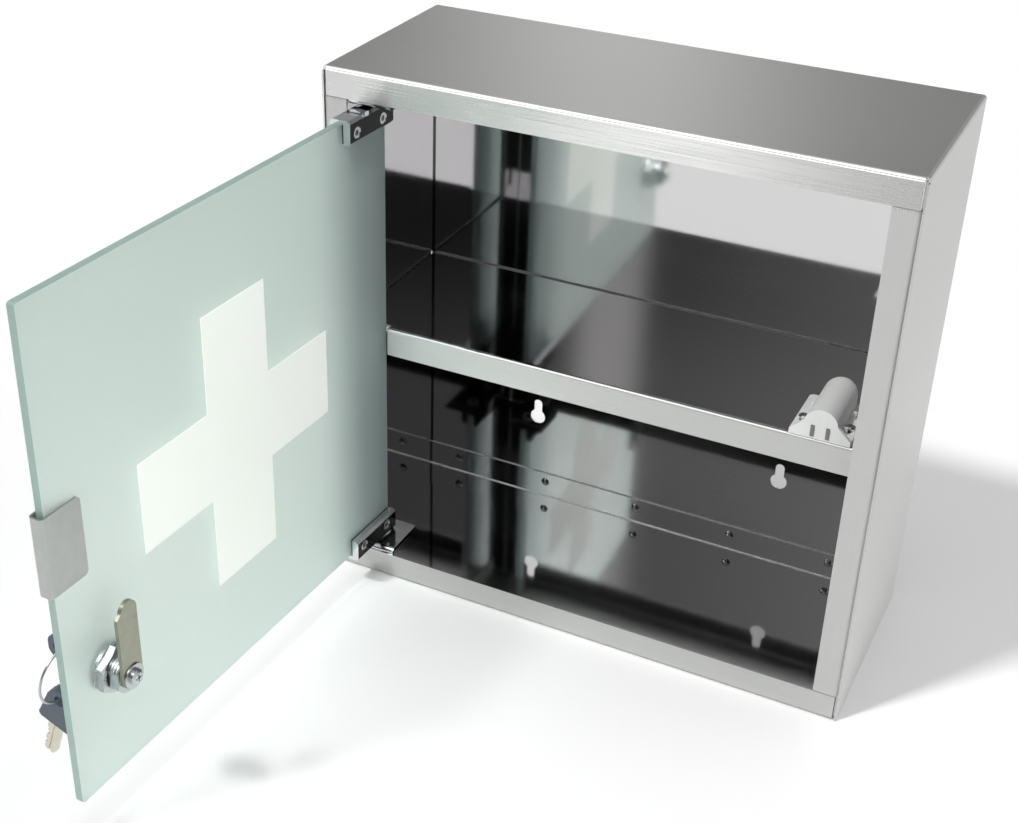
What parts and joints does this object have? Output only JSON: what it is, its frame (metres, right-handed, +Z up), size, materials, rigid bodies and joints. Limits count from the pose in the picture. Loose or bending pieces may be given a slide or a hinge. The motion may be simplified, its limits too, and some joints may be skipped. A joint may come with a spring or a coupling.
{
  "type": "lockable medicine cabinet",
  "caption": "Shallow folded-steel wall cabinet with a fixed shelf, a frosted glass door with a cross, pivot clamps, a cam lock with keys and a magnetic catch.",
  "frame": {"origin": "centre of the case's underside", "axes": "+X to the right along the front, +Y from the front to the wall, +Z up"},
  "size_m": [0.3356, 0.367, 0.3],
  "materials": {
    "case_steel": "fine brushed stainless outside, near mirror inside",
    "hinge_chrome": "polished",
    "hinge_steel": "plain turned",
    "white_plastic": "moulded",
    "catch_steel": "zinc plated",
    "ferrite": "sintered, dull",
    "frosted_glass": "frosted, polished edges",
    "white_print": "opaque white print",
    "black_rubber": "matte",
    "lock_nickel": "warm satin nickel plate",
    "wafer_brass": "stamped",
    "slate_plastic": "moulded"
  },
  "bodies": {
    "case": {"case_shell": "case_steel", "bottom_panel": "case_steel", "back_panel": "case_steel", "left_stile": "case_steel", "right_stile": "case_steel", "shelf": "case_steel", "back_rivets": "case_steel", "lock_keeper": "case_steel", "hinge_bracket_top": "hinge_chrome", "hinge_bracket_bottom": "hinge_chrome", "hinge_bushes": "white_plastic", "catch_body": "white_plastic", "catch_magnet": "ferrite", "catch_poles": "catch_steel", "catch_screws": "catch_steel"},
    "door": {"glass_door": "frosted_glass", "door_cross": "white_print", "hinge_clamp_top": "hinge_chrome", "hinge_clamp_bottom": "hinge_chrome", "clamp_plates": "hinge_steel", "clamp_pads": "black_rubber", "clamp_screws": "hinge_chrome", "hinge_pins": "hinge_steel", "handle": "case_steel", "handle_tape": "black_rubber", "lock_barrel": "lock_nickel", "lock_gasket": "black_rubber", "lock_washer": "lock_nickel", "lock_nut": "lock_nickel"},
    "lock_plug": {"lock_plug": "lock_nickel", "lock_wafers": "wafer_brass", "lock_cam": "lock_nickel", "cam_washer": "lock_nickel", "cam_screw": "lock_nickel"},
    "key": {"key_blade": "lock_nickel", "key_head": "slate_plastic"},
    "key_ring": {"key_ring": "hinge_chrome"},
    "spare_key": {"spare_blade": "lock_nickel", "spare_head": "slate_plastic"}
  },
  "joints": [
    {"name": "door_hinge", "type": "hinge", "parent": "case", "child": "door", "pos_m": [-0.1274, -0.0441, 0.15], "axis": [0, 0, -1], "range_deg": [-92.5, 5.5]},
    {"name": "lock_turn", "type": "hinge", "parent": "door", "child": "lock_plug", "pos_m": [-0.13695, -0.2766, 0.083], "axis": [0.999, -0.0436, 0], "range_deg": [0, 90]},
    {"name": "key_slide", "type": "slide", "parent": "lock_plug", "child": "key", "axis": [-0.999, 0.0436, 0], "range_m": [0, 0.024]},
    {"name": "ring_swing", "type": "hinge", "parent": "key", "child": "key_ring", "pos_m": [-0.16582, -0.27534, 0.081], "axis": [0.0436, 0.999, 0], "range_deg": [-10, 40]},
    {"name": "spare_swing", "type": "hinge", "parent": "key_ring", "child": "spare_key", "pos_m": [-0.1696, -0.27518, 0.05023], "axis": [0.0436, 0.999, 0], "range_deg": [-12, 25]}
  ]
}
